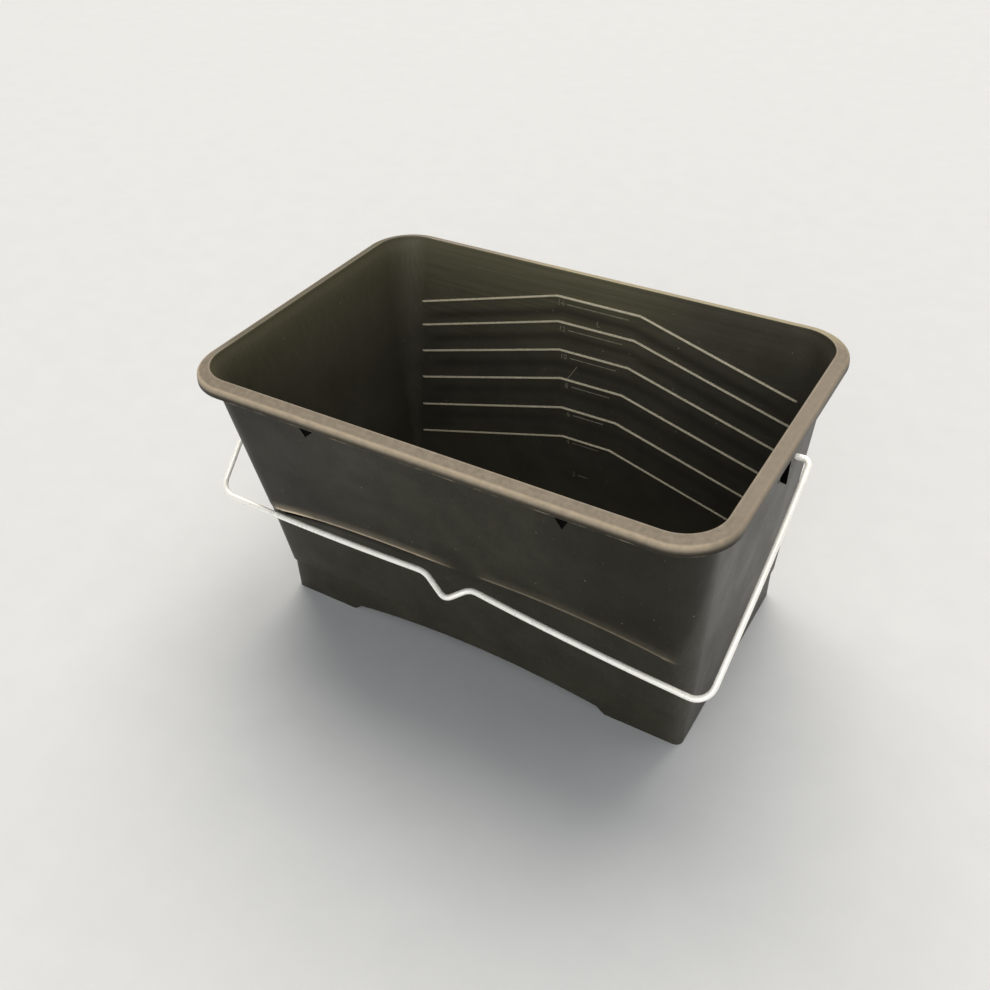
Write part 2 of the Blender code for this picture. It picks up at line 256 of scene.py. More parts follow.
def rounded_line(corners, steps=ROUNDING_STEPS):
    """A flat line whose corners, given as (u, v, radius), are rounded with arcs."""
    points = [Vector(corner[:2]) for corner in corners]
    line = [points[0]]
    for index in range(1, len(points) - 1):
        here = points[index]
        into = here - points[index - 1]
        out = points[index + 1] - here
        turn = into.angle_signed(out)
        radius = corners[index][2]
        if radius == 0 or abs(turn) < 0.02:
            line.append(here)
            continue
        trim = radius * math.tan(abs(turn) / 2)
        trim = min(trim, 0.48 * into.length, 0.48 * out.length)
        radius = trim / math.tan(abs(turn) / 2)
        into.normalize()
        start = here - into * trim
        centre = start + Vector((into.y, -into.x)) * math.copysign(radius, turn)
        for step in range(steps + 1):
            angle = -turn * step / steps
            line.append(centre + Matrix.Rotation(angle, 2) @ (start - centre))
    line.append(points[-1])
    return line


def skin(bm, rings, paint=None):
    """Joins rings of points, all of one length, into one closed skin.

    Where paint is given, it picks each face's material.
    """
    rows = [[bm.verts.new(point) for point in ring] for ring in rings]
    for number, (lower, upper) in enumerate(zip(rows, rows[1:])):
        for index in range(len(lower)):
            after = (index + 1) % len(lower)
            face = bm.faces.new((lower[index], lower[after], upper[after], upper[index]))
            if paint:
                face.material_index = paint(number, rings[number][index].x, index)
    bm.faces.new(list(reversed(rows[0])))
    last = bm.faces.new(rows[-1])
    if paint:
        last.material_index = paint(len(rows), 0.0, 0)


def prism(near_outline, far_outline):
    bm = bmesh.new()
    skin(bm, [near_outline, far_outline])
    return bm


def cut(piece, cutter_bm, material=None):
    """Cuts a shape out of a piece for good; the cut's own faces may get their own material."""
    cutter = mesh_piece("cutter", cutter_bm)
    if material:
        cutter.data.materials.append(material)
    modifier = piece.modifiers.new("cut", "BOOLEAN")
    modifier.operation = "DIFFERENCE"
    modifier.object = cutter
    modifier.solver = "EXACT"
    modifier.material_mode = "TRANSFER"
    settle(piece)
    piece.data.set_sharp_from_angle(angle=SHARP_TURN)
    bpy.data.objects.remove(cutter)


def settle(piece):
    """Applies a piece's modifiers."""
    graph = bpy.context.evaluated_depsgraph_get()
    data = bpy.data.meshes.new_from_object(piece.evaluated_get(graph))
    piece.modifiers.clear()
    piece.data = data


def smoothstep(low, high, value):
    part = min(1.0, max(0.0, (value - low) / (high - low)))
    return part * part * (3 - 2 * part)


# ================================================================ the tub's walls
def side_half_length(z):
    top = HALF_LENGTH - WALL_TOP_INSET
    return BASE_HALF_LENGTH + (top - BASE_HALF_LENGTH) * z / WALL_TOP


def sag(x, z):
    """How far a long wall is drawn in by the moulding's cooling."""
    across = max(0.0, 1 - (x / HALF_LENGTH) ** 2)
    return PANEL_SAG * across * math.sin(math.pi * min(1.0, max(0.0, z / WALL_TOP)))


def rear_y(z):
    top = HALF_DEPTH - WALL_TOP_INSET / 2
    return BASE_REAR + (top - BASE_REAR) * z / WALL_TOP


def wall_at(z):
    """The walls' thickness at a height: they thin out towards the rim."""
    down = min(1.0, max(0.0, (WALL_TOP - z) / WALL_THIN_REACH))
    return WALL - WALL_TOP_THIN * (1 - down) ** 2


def rear_face_y(x, z):
    """The rear wall's inner face."""
    return rear_y(z) - wall_at(z) - sag(x, z)


def front_upper_y(z):
    return -HALF_DEPTH + FRONT_UPPER_SLOPE * (WALL_TOP - z)


def front_lower_y(z):
    at_crease = front_upper_y(CREASE_HEIGHT) + CREASE_STEP
    return at_crease + FRONT_LOWER_SLOPE * (CREASE_HEIGHT - z)


def wall_corner(z):
    return BASE_CORNER + (INNER_CORNER - BASE_CORNER) * z / WALL_TOP


def crease_lift(x):
    across = min(1.0, abs(x) / CREASE_HALF)
    return CREASE_RISE * (1 - across ** 3) + CREASE_SKEW * smoothstep(SKEW_START, SKEW_END, x)


def front_skin_y(x, z):
    """The front wall's outer face, with the bead and the step of its arched crease."""
    above = z - CREASE_HEIGHT - crease_lift(x)
    fade = 1 - smoothstep(*CREASE_FADE, abs(x))
    lower_start = front_upper_y(CREASE_HEIGHT + crease_lift(x))
    if above >= 0:
        bead = BEAD_PROUD * max(0.0, 1 - above / BEAD_REACH) ** 2
        return front_upper_y(z) - bead * fade + sag(x, z)
    step = smoothstep(0.0, STEP_HEIGHT, -above)
    left = 1 - smoothstep(*GROOVE_FADE, x)
    groove = smoothstep(0.0, GROOVE_FULL, -above) * (1 - smoothstep(*GROOVE_FOOT, -above))
    inset = CREASE_STEP * step - BEAD_PROUD * (1 - step) * fade
    inset += GROOVE_DEPTH * left * fade * groove
    return lower_start + inset - FRONT_LOWER_SLOPE * above + sag(x, z)


def arch_lift(x):
    if abs(x) >= FOOT_INNER:
        return 0.0
    if abs(x) > FOOT_RAMP:
        return ARCH_START * (FOOT_INNER - abs(x)) / (FOOT_INNER - FOOT_RAMP)
    return ARCH_START + (ARCH_HEIGHT - ARCH_START) * (1 - (x / FOOT_RAMP) ** 2)


def long_stations():
    count = round(LONG_LIMIT / LONG_SPACING)
    stations = {round(LONG_SPACING * step, 5) for step in range(-count, count + 1)}
    for edge in (FOOT_INNER, FOOT_RAMP):
        stations |= {edge, -edge}
    return sorted(stations)


STATIONS = long_stations()


def ring(half_length, front, rear, radius, z):
    """A level rounded rectangle, anticlockwise from the front left, always on the same columns."""
    def corner(centre_x, centre_y, start):
        for step in range(CORNER_STEPS + 1):
            angle = math.radians(start + 90 * step / CORNER_STEPS)
            x = centre_x + radius * math.cos(angle)
            yield Vector((x, centre_y + radius * math.sin(angle), z))

    middle = (front + rear) / 2
    straight = (rear - front) / 2 - radius
    shares = [2 * (step + 1) / (SHORT_STATIONS + 1) - 1 for step in range(SHORT_STATIONS)]
    points = [Vector((x, front, z)) for x in STATIONS]
    points += corner(half_length - radius, front + radius, -90)
    points += [Vector((half_length, middle + straight * share, z)) for share in shares]
    points += corner(half_length - radius, rear - radius, 0)
    points += [Vector((x, rear, z)) for x in reversed(STATIONS)]
    points += corner(-half_length + radius, rear - radius, 90)
    points += [Vector((-half_length, middle - straight * share, z)) for share in shares]
    points += corner(-half_length + radius, front + radius, 180)
    return points


FRONT_COLUMNS = range(len(STATIONS))
REAR_START = len(STATIONS) + 2 * (CORNER_STEPS + 1) + SHORT_STATIONS
REAR_COLUMNS = range(REAR_START, REAR_START + len(STATIONS))


def outer_wall_ring(z, crease_offset=None):
    """A ring on the walls' outer faces; with an offset, its front follows the arched crease."""
    upper = z > CREASE_HEIGHT if crease_offset is None else crease_offset >= 0
    front = front_upper_y(z) if upper else front_lower_y(z)
    points = ring(side_half_length(z), front, rear_y(z), wall_corner(z), z)
    for column in FRONT_COLUMNS:
        point = points[column]
        if crease_offset is not None:
            point.z = CREASE_HEIGHT + crease_lift(point.x) + crease_offset
        point.y = front_skin_y(point.x, point.z)
    for column in REAR_COLUMNS:
        points[column].y -= sag(points[column].x, z)
    return points


def inner_wall_ring(z, inset):
    front = front_upper_y(z) if z > CREASE_HEIGHT else front_lower_y(z)
    radius = max(wall_corner(z) - inset, INNER_CORNER_LEAST)
    points = ring(side_half_length(z) - inset, front + inset, rear_y(z) - inset, radius, z)
    for column in FRONT_COLUMNS:
        points[column].y += sag(points[column].x, z)
    for column in REAR_COLUMNS:
        points[column].y -= sag(points[column].x, z)
    return points


def rim_ring(width, drop):
    return ring(HALF_LENGTH + width, -HALF_DEPTH - width, HALF_DEPTH + width,
                INNER_CORNER + width, HEIGHT - drop)


def plinth_ring(z, inset=0.0):
    """A ring on the plinth, whose bottom edge is cut away in an arch between the feet."""
    extra = PLINTH_STEP + PLINTH_SLOPE * (PLINTH_HEIGHT - z)
    base = PLINTH_HEIGHT
    points = ring(side_half_length(base) - extra - inset, front_lower_y(base) + extra + inset,
                  rear_y(base) - extra - inset, max(wall_corner(z) - inset, PLINTH_CORNER_LEAST), z)
    share = max(0.0, 1 - z / ARCH_FADE_HEIGHT)
    for columns in (FRONT_COLUMNS, REAR_COLUMNS):
        for column in columns:
            points[column].z += arch_lift(points[column].x) * share
    return points


def shrunk(points, share):
    """The same ring drawn in towards its middle, which keeps wide flat faces evenly meshed."""
    middle = sum(point.y for point in points) / len(points)
    return [Vector((place.x * share, middle + (place.y - middle) * share, place.z)) for place in points]


OUTER_FACE, INNER_FACE, SHADOW_FACE = range(3)
FLOOR_SHARES = (0.97, 0.90, 0.75, 0.55, 0.35, 0.18, 0.05)
CREASE_OFFSETS = (-0.012, -0.0075, -0.0050, -0.0040, -0.0032, -0.0024, -0.0018, -0.0012,
                  -0.0009, -0.0006, -0.0003, 0.0, 0.0005, 0.0010, 0.0015, 0.0022, 0.003,
                  0.004, 0.005, 0.0075, 0.0105, 0.014)
# Faces in the deep shadow under the crease, which get the near-black painted-shade plastic, as (left of
# this x, from this offset, to this one).
SHADOW_LINES = ((-0.138, -0.0051, -0.0009), (-0.115, -0.0041, -0.0009), (-0.015, -0.0033, -0.0009))


def tub_rings():
    """The skin from the floor's underside, out, up the walls, over the rim and down inside.

    Also gives the function that picks each face's material.
    """
    edge = 0.0005
    underside = plinth_ring(FLOOR_UNDERSIDE, WALL + 0.001)
    for point in underside:
        point.z = FLOOR_UNDERSIDE
    rings = [shrunk(underside, share) for share in reversed(FLOOR_SHARES)]
    rings += [underside, plinth_ring(FLOOR_UNDERSIDE - 0.001, WALL)]
    rings += [plinth_ring(edge, WALL), plinth_ring(0.0, WALL - edge), plinth_ring(0.0, edge)]
    rings += [plinth_ring(edge * 0.3, edge * 0.3), plinth_ring(edge)]
    rings += [plinth_ring(z) for z in (0.006, 0.014, 0.022)]
    rings += [plinth_ring(PLINTH_HEIGHT - below) for below in (0.0018, 0.0010)]
    above_plinth = (0.0002, 0.0008, 0.006, 0.016, 0.030, 0.044)
    rings += [outer_wall_ring(PLINTH_HEIGHT + above) for above in above_plinth]
    crease_from = len(rings)
    rings += [outer_wall_ring(CREASE_HEIGHT + offset, offset) for offset in CREASE_OFFSETS]
    upper_heights = (0.135, 0.150, 0.165, 0.180, 0.195, 0.208, WALL_TOP - 0.0022)
    rings += [outer_wall_ring(z) for z in upper_heights]
    rim = rounded_line(RIM_SECTION)
    inner_from = len(rings) + next(at for at, (width, _) in enumerate(rim) if width < 0.0002)
    rings += [rim_ring(width, drop) for width, drop in rim]
    inner_heights = (WALL_TOP - 0.0012, 0.212, 0.205, 0.196, 0.186, 0.170, 0.150, 0.130, 0.110, 0.099)
    rings += [inner_wall_ring(z, wall_at(z)) for z in inner_heights]
    rings += [inner_wall_ring(z, WALL + 0.0003) for z in (0.080, 0.060, 0.045)]
    deep = WALL + PLINTH_STEP + 0.0006
    rings.append(inner_wall_ring(PLINTH_HEIGHT + 0.004, WALL + 0.0008))
    for step in range(FILLET_STEPS + 1):
        angle = math.radians(90 * step / FILLET_STEPS)
        inset = deep + FLOOR_FILLET * (1 - math.cos(angle))
        rings.append(inner_wall_ring(FLOOR_TOP + FLOOR_FILLET * (1 - math.sin(angle)), inset))
    rings += [shrunk(rings[-1], share) for share in FLOOR_SHARES]

    def paint(number, x, column):
        if number >= inner_from:
            return INNER_FACE
        if column in FRONT_COLUMNS and 0 <= number - crease_from < len(CREASE_OFFSETS):
            offset = CREASE_OFFSETS[number - crease_from]
            for limit, low, high in SHADOW_LINES:
                if x < limit and low <= offset < high:
                    return SHADOW_FACE
        return OUTER_FACE

    return rings, paint


def build_shell(outer_plastic, inner_plastic, notch_plastic):
    bm = bmesh.new()
    skin(bm, *tub_rings())
    shell = mesh_piece("tub_shell", bm)
    for plastic in (outer_plastic, inner_plastic, notch_plastic):
        shell.data.materials.append(plastic)
    for notch in NOTCHES:
        # The notches' faces get the painted-shade plastic, which paints their shade near black.
        cut(shell, notch_cutter(*notch), notch_plastic)
    return shell


def notch_cutter(left, tip, right, tip_drop):
    """A triangular notch under the front rim, point down."""
    low = HEIGHT - tip_drop
    high = HEIGHT - LEDGE_DROP - NOTCH_TOP_GAP
    near, far = [], []
    for x, z in ((tip, low), (right, high), (left, high)):
        face = front_upper_y(z)
        near.append(Vector((x, face + NOTCH_SINK, z)))
        far.append(Vector((x, face - NOTCH_SINK, z)))
    return prism(near, far)


# ================================================================ ribs, marks and lugs
def rib_middle(x, drop, half):
    """Height of a rib's centre line: level in the middle, falling to both ends."""
    return HEIGHT - drop - RIB_SLOPE * max(0.0, abs(x) - half)


def build_ribs(plastic):
    """Half-round roller ribs, which follow the rear wall's face and taper into its corners."""
    bm = bmesh.new()
    for number, drop in enumerate(RIB_DROPS):
        half = RIB_TOP_HALF - number * RIB_HALF_STEP
        rings = []
        for step in range(RIB_STEPS + 1):
            x = -RIB_END + 2 * RIB_END * step / RIB_STEPS
            middle = rib_middle(x, drop, half)
            taper = smoothstep(0.0, RIB_TAPER, RIB_END - abs(x) + RIB_BLUNT)
            section = []
            for turn in range(RIB_ARC_STEPS + 1):
                angle = math.pi * turn / RIB_ARC_STEPS
                z = middle + RIB_WIDTH / 2 * math.cos(angle)
                proud = RIB_PROUD * taper * math.sin(angle) ** RIB_FULLNESS
                section.append(Vector((x, rear_face_y(x, z) - proud, z)))
            for z in (middle - RIB_WIDTH / 2, middle + RIB_WIDTH / 2):
                section.append(Vector((x, rear_face_y(x, z) + WALL * 0.4, z)))
            rings.append(section)
        skin(bm, rings)
    ribs = mesh_piece("rear_ribs", bm)
    ribs.data.materials.append(plastic)
    return ribs


def build_mark_lines(plastic):
    """The raised line of each volume mark, under the rib that goes with it."""
    bm = bmesh.new()
    for drop, half in zip(MARK_DROPS, MARK_HALF_LENGTHS):
        rings = []
        for step in range(MARK_STEPS + 1):
            x = -half + 2 * half * step / MARK_STEPS
            middle = HEIGHT - drop
            section = []
            for height, proud in MARK_SECTION:
                z = middle + height * MARK_WIDTH
                section.append(Vector((x, rear_face_y(x, z) - proud * MARK_PROUD, z)))
            rings.append(section)
        skin(bm, rings)
    marks = mesh_piece("volume_marks", bm)
    marks.data.materials.append(plastic)
    return marks


def wall_text(name, body, left_x, drop, plastic):
    """Raised generic figures on the rear wall's inner face."""
    curve = bpy.data.curves.new(name, "FONT")
    curve.body = body
    curve.size = NUMERAL_SIZE
    curve.extrude = MARK_PROUD
    curve.resolution_u = 3
    curve.align_x = "RIGHT"
    curve.align_y = "CENTER"
    figures = bpy.data.objects.new(name, curve)
    bpy.context.collection.objects.link(figures)
    z = HEIGHT - drop
    lean = math.atan2(rear_y(WALL_TOP) - rear_y(0.0), WALL_TOP)
    figures.matrix_world = (Matrix.Translation((left_x, rear_face_y(left_x, z), z))
                            @ Matrix.Rotation(math.pi / 2 - lean, 4, "X"))
    curve.materials.append(plastic)
    return figures


def build_figures(plastic):
    pieces = []
    for drop, half, litres in zip(MARK_DROPS, MARK_HALF_LENGTHS, MARK_LITRES):
        name = f"volume_figure_{litres}"
        pieces.append(wall_text(name, str(litres), -half - NUMERAL_GAP, drop, plastic))
    pieces.append(wall_text("volume_unit", "L", UNIT_X, UNIT_DROP, plastic))
    return pieces


def lug_outline():
    """A lug and its gusset seen from the side, as (y, z) points."""
    end = -WEB_REACH - WEB_EDGE
    points = [(LUG_RADIUS, HEIGHT - LUG_TOP_DROP), (end, HEIGHT - LUG_TOP_DROP)]
    points.append((end, HEIGHT - WEB_END_DROP))
    points.append((-LUG_RADIUS, HEIGHT - WEB_TIP_DROP))
    for step in range(LUG_STEPS + 1):
        angle = math.radians(180 * step / LUG_STEPS - 180)
        points.append((LUG_RADIUS * math.cos(angle), PIVOT.z + LUG_RADIUS * math.sin(angle)))
    return points


def build_lug(side, plastic, notch_plastic):
    near = [Vector((side * (side_half_length(z) - wall_at(z) / 2), y, z)) for y, z in lug_outline()]
    far = [Vector((side * LUG_FACE, y, z)) for y, z in lug_outline()]
    lug = mesh_piece("bail_lug_right" if side > 0 else "bail_lug_left", prism(near, far))
    lug.data.materials.append(plastic)
    bevel = lug.modifiers.new("edge", "BEVEL")
    bevel.width = LUG_EDGE_ROUND
    bevel.segments = 3
    bevel.limit_method = "ANGLE"
    bevel.angle_limit = math.radians(50)
    settle(lug)
    # The hollow's and the pin hole's faces get the painted-shade plastic.
    cut(lug, gusset_hollow(side), notch_plastic)
    cut(lug, pin_hole(side), notch_plastic)
    return lug


def gusset_hollow(side):
    lug_side = -LUG_RADIUS - WEB_EDGE
    top = HEIGHT - LUG_TOP_DROP - WEB_EDGE
    low_tip = HEIGHT - WEB_TIP_DROP + 2 * WEB_EDGE
    inner = [(lug_side, top), (-WEB_REACH, top)]
    inner += [(-WEB_REACH, HEIGHT - WEB_END_DROP), (lug_side - HOLLOW_LEAN, low_tip)]
    near = [Vector((side * HOLLOW_START, y, z)) for y, z in inner]
    far = [Vector((side * (LUG_FACE + CUTTER_OVERSHOOT), y, z)) for y, z in inner]
    return prism(near, far)


def pin_hole(side):
    """A blind hole whose mouth is chamfered."""
    chamfer = 0.0004
    stations = ((PIN_HOLE_END, PIN_HOLE_RADIUS), (LUG_FACE - chamfer, PIN_HOLE_RADIUS),
                (LUG_FACE + chamfer, PIN_HOLE_RADIUS + 2 * chamfer))
    turns = [2 * math.pi * step / PIN_HOLE_SIDES for step in range(PIN_HOLE_SIDES)]
    rings = []
    for x, radius in stations:
        circle = [(radius * math.cos(turn), PIVOT.z + radius * math.sin(turn)) for turn in turns]
        rings.append([Vector((side * x, y, z)) for y, z in circle])
    bm = bmesh.new()
    skin(bm, rings)
    return bm


# ================================================================ the wire bail
def arm_corners(side, reach):
    """Pin, bend and bowed arm of one side, up to the bar, as (x, reach, bend radius)."""
    corners = [(side * PIN_END, 0.0, 0), (side * ARM_X, 0.0, PIN_BEND)]
    for part in BOW_SHARES:
        corners.append((side * (ARM_X - ARM_BOW * part ** ARM_BOW_POWER), reach * part, 0))
    corners.append((side * (ARM_X - ARM_BOW), reach, BAR_BEND))
    return corners


def bar_corners(kink_x, side, reach):
    """The bar's bowed stretch from the kink to one side."""
    corners = []
    for part in BOW_SHARES:
        x = kink_x + (side * (ARM_X - ARM_BOW) - kink_x) * part
        bowed = KINK_REACH + (reach - KINK_REACH) * part + BAR_BOW * 4 * part * (1 - part)
        corners.append((x, bowed, 0))
    return corners


def bail_line():
    """The wire's centre line in the bail's own plane, as (x, reach) points evenly spaced."""
    corners = arm_corners(-1, LEFT_REACH)
    corners += reversed(bar_corners(KINK_LEFT_X, -1, LEFT_REACH))
    corners.append((KINK_LEFT_X, KINK_REACH, KINK_BENDS[0]))
    corners.append((KINK_TIP_X, KINK_TIP_REACH, KINK_BENDS[1]))
    corners.append((KINK_RIGHT_X, KINK_REACH, KINK_BENDS[2]))
    corners += bar_corners(KINK_RIGHT_X, 1, RIGHT_REACH)
    corners += reversed(arm_corners(1, RIGHT_REACH))
    rough = rounded_line(corners, steps=10)
    line = [rough[0]]
    carried = 0.0
    for before, here in zip(rough, rough[1:]):
        span = (here - before).length
        along = WIRE_SPACING - carried
        while along < span:
            line.append(before.lerp(here, along / span))
            along += WIRE_SPACING
        carried = span - (along - WIRE_SPACING)
    line.append(rough[-1])
    return line


def build_bail(steel):
    """One drawn wire, its cut ends chamfered, each bend very slightly flattened by its former."""
    line = bail_line()
    down = Vector((0, -math.cos(BAIL_ANGLE), -math.sin(BAIL_ANGLE)))
    across = Vector((1, 0, 0)).cross(down)
    rings = []
    for index, point in enumerate(line):
        before = line[max(0, index - 1)]
        after = line[min(len(line) - 1, index + 1)]
        heading = (after - before).normalized()
        aside = Vector((1, 0, 0)) * -heading.y + down * heading.x
        bend = 0.0
        if 2 <= index < len(line) - 2:
            bend = (point - line[index - 2]).angle(line[index + 2] - point)
        flat = 1 - min(MOST_FLATTENED, bend * FLATTENED_BY_BEND)
        width = CUT_END_WIDTH if index in (0, len(line) - 1) else 1.0
        centre = PIVOT + Vector((1, 0, 0)) * point.x + down * point.y
        section = []
        for step in range(WIRE_SIDES):
            angle = 2 * math.pi * step / WIRE_SIDES
            out = aside * math.cos(angle) + across * (flat * math.sin(angle))
            section.append(centre + out * (WIRE_RADIUS * width))
        rings.append(section)
    bm = bmesh.new()
    skin(bm, rings)
    bail = mesh_piece("wire_bail", bm, sharp_turn=WIRE_SHARP_TURN)
    bail.data.materials.append(steel)
    return bail


# ================================================================ materials
# Linear colours of the plastic. A pair goes from its darkest to its lightest.
GRAIN_INSIDE = ((0.0250, 0.0240, 0.0190, 1), (0.0360, 0.0340, 0.0270, 1))
GRAIN_OUTSIDE = ((0.0215, 0.0215, 0.0155, 1), (0.0320, 0.0315, 0.0235, 1))
# Painted shade: near-black tones for the notches, the lugs' hollows and pin holes, and the crease's
# shadow.
PAINTED_SHADE_TONES = ((0.0020, 0.0020, 0.0015, 1), (0.0045, 0.0042, 0.0034, 1))
# Ribs: paler for roller wear and for a painted highlight on their crests.
RIB_WEAR_AND_HIGHLIGHT_TONES = ((0.35, 0.32, 0.24, 1), (0.43, 0.395, 0.30, 1))
MARK_TONES = ((0.12, 0.11, 0.085, 1), (0.20, 0.185, 0.145, 1))
WORN = (0.088, 0.073, 0.052, 1)
# Roller wear and painted light on the inside's upper part.
RUBBED_AND_LIT = (0.089, 0.083, 0.050, 1)
SCUFFED = (0.125, 0.118, 0.108, 1)
# Painted shade, mixed in under the ribs, to the front panel's sides and under the crease.
SHADED = (0.012, 0.0095, 0.0070, 1)
DUST = (0.21, 0.19, 0.16, 1)
FLANGE = (0.162, 0.135, 0.106, 1)
FLANGE_BACK = (0.420, 0.380, 0.200, 1)
FLANGE_LEFT = (0.046, 0.042, 0.022, 1)
# Painted highlights on the rim's shoulder, the plinth's step and the skirt's lower edge.
HIGHLIGHT_PALE = (0.460, 0.385, 0.285, 1)
# Painted highlight along the front crease.
CREASE_HIGHLIGHT = (0.660, 0.550, 0.410, 1)
# The same for the wire and for the studio's paper.
WIRE_TONES = ((0.91, 0.90, 0.86, 1), (0.97, 0.965, 0.935, 1))
WIRE_PIT = (0.40, 0.38, 0.34, 1)
PAPER_TONES = ((0.38, 0.395, 0.42, 1), (0.395, 0.41, 0.435, 1))

# A share that fades in over one of these ranges of y acts on that wall only.
REAR_FACE = (0.085, 0.090)
FRONT_FACE = (-0.090, -0.093)
# Half the width of the painted highlight lines along the edges.
EDGE_LINE_HALF = 0.0008


class Field:
    """Something that varies over a surface. Arithmetic on it adds the nodes that work it out."""

    def __init__(self, finish, socket):
        self.finish = finish
        self.socket = socket

    def __abs__(self):
        return self.finish.math("ABSOLUTE", self)

    def __add__(self, other):
        return self.finish.math("ADD", self, other)

    def __sub__(self, other):
        return self.finish.math("SUBTRACT", self, other)

    def __rsub__(self, other):
        return self.finish.math("SUBTRACT", other, self)

    def __mul__(self, other):
        return self.finish.math("MULTIPLY", self, other)

    def __pow__(self, power):
        return self.finish.math("POWER", self, power)

    def at_least(self, other):
        """The larger of the two."""
        return self.finish.math("MAXIMUM", self, other)

    def ramp(self, low, high, to_low=0.0, to_high=1.0):
        """Goes smoothly from to_low, where this is low, to to_high, where this is high."""
        inputs = {"Value": self, "From Min": low, "From Max": high, "To Min": to_low, "To Max": to_high}
        made = self.finish.node("ShaderNodeMapRange", inputs, interpolation_type="SMOOTHSTEP")
        return Field(self.finish, made.outputs["Result"])


class Finish:
    """A procedural material, with short ways to add the nodes that it is made of."""

    def __init__(self, name, **settings):
        self.material = bpy.data.materials.new(name)
        self.material.use_nodes = True
        self.tree = self.material.node_tree
        self.shader = self.tree.nodes["Principled BSDF"]
        for socket, value in settings.items():
            self.shader.inputs[socket.replace("_", " ")].default_value = value
        self.place = self.node("ShaderNodeTexCoord").outputs["Object"]

    def node(self, kind, inputs=None, **settings):
        """Adds a node, with its inputs linked where they vary and set where they don't."""
        made = self.tree.nodes.new(kind)
        for name, value in settings.items():
            setattr(made, name, value)
        for key, value in (inputs or {}).items():
            if isinstance(value, Field):
                value = value.socket
            if isinstance(value, bpy.types.NodeSocket):
                self.tree.links.new(value, made.inputs[key])
            else:
                made.inputs[key].default_value = value
        return made

    def coordinates(self):
        """A place's x, y and z, in metres."""
        split = self.node("ShaderNodeSeparateXYZ", {"Vector": self.place})
        return [Field(self, part) for part in split.outputs]

    def math(self, operation, first, second=0.0):
        made = self.node("ShaderNodeMath", {0: first, 1: second}, operation=operation)
        return Field(self, made.outputs["Value"])

    def stretched(self, scale):
        """Places scaled along each axis, so that a pattern gets longer along the small ones."""
        mapping = self.node("ShaderNodeMapping", {"Vector": self.place, "Scale": scale})
        return mapping.outputs["Vector"]

    def noise(self, scale, detail, rough, place=None):
        inputs = {"Vector": place or self.place, "Scale": scale, "Detail": detail, "Roughness": rough}
        return Field(self, self.node("ShaderNodeTexNoise", inputs).outputs["Fac"])

    def mix(self, share, first, second):
        made = self.node("ShaderNodeMix", {0: share, 6: first, 7: second}, data_type="RGBA")
        return Field(self, made.outputs[2])

    def bump(self, height, strength, distance, normal=None):
        inputs = {"Height": height, "Strength": strength, "Distance": distance}
        if normal:
            inputs["Normal"] = normal
        return Field(self, self.node("ShaderNodeBump", inputs).outputs["Normal"])

    def use(self, socket, field):
        self.tree.links.new(field.socket, self.shader.inputs[socket])


# ---------------------------------------------------------------- places on the tub
def mouth_distance(finish):
    """How far outside the mouth's edge a point is, plus the mouth's corner radius."""
    quarter = finish.node("ShaderNodeVectorMath", {0: finish.place}, operation="ABSOLUTE")
    straight = (HALF_LENGTH - INNER_CORNER, HALF_DEPTH - INNER_CORNER, 10.0)
    inputs = {0: quarter.outputs[0], 1: straight}
    past = finish.node("ShaderNodeVectorMath", inputs, operation="SUBTRACT")
    inputs = {0: past.outputs[0], 1: (0, 0, 0)}
    clipped = finish.node("ShaderNodeVectorMath", inputs, operation="MAXIMUM")
    length = finish.node("ShaderNodeVectorMath", {0: clipped.outputs[0]}, operation="LENGTH")
    return Field(finish, length.outputs["Value"])


def shoulder_share(finish):
    """1 along the rim's outer shoulder, where a highlight is painted, less on the right and at the back.
    """
    near = mouth_distance(finish).ramp(INNER_CORNER + 0.0068, INNER_CORNER + 0.0088)
    high = finish.z.ramp(HEIGHT - 0.0068, HEIGHT - 0.0036)
    right = finish.x.ramp(0.180, 0.200, 1.0, 0.25)
    back = finish.y.ramp(0.100, 0.125, 1.0, 0.55)
    return high * near * right * back


def line_share(finish, height):
    """1 on a thin level line round the tub, at a height."""
    return abs(finish.z - height).ramp(EDGE_LINE_HALF, EDGE_LINE_HALF * 0.4)


def crease_shares(finish):
    """Three shares along the front crease: a thin and a broad painted highlight on its upper edge, and
    painted shade just under it.
    """
    across = abs(finish.x) * (1 / CREASE_HALF)
    top = CREASE_HEIGHT + CREASE_RISE
    skewed = finish.x.ramp(SKEW_START, SKEW_END, top, top + CREASE_SKEW)
    height = finish.z - (skewed - across ** 3.0 * CREASE_RISE)
    front = finish.y.ramp(*FRONT_FACE) * across.ramp(1.06, 1.0)
    edge = front * height.ramp(-0.0018, -0.0008)
    # Painted shade just under the crease.
    under = front * height.ramp(-0.0085, -0.0045) * height.ramp(-0.0008, -0.0018)
    return edge * height.ramp(0.0026, 0.0), edge * height.ramp(0.0100, 0.0), under


def rib_bands(finish):
    """1 in the painted shadow band that runs under each rib."""
    out = abs(finish.x) - (RIB_TOP_HALF - 2 * RIB_HALF_STEP)
    level = finish.z + out.at_least(0.0) * RIB_SLOPE
    shadow_bands = 0.0
    for number, drop in enumerate(RIB_DROPS[:-1]):
        off = abs(level - (HEIGHT - drop - RIB_SHADOW_DROP))
        shadow_bands = off.ramp(RIB_SHADOW_HALF, 0.0, 0.0, 1 - 0.12 * number) + shadow_bands
    ends = abs(finish.x).ramp(RIB_END, RIB_END - 0.02)
    return shadow_bands * finish.y.ramp(*REAR_FACE) * ends


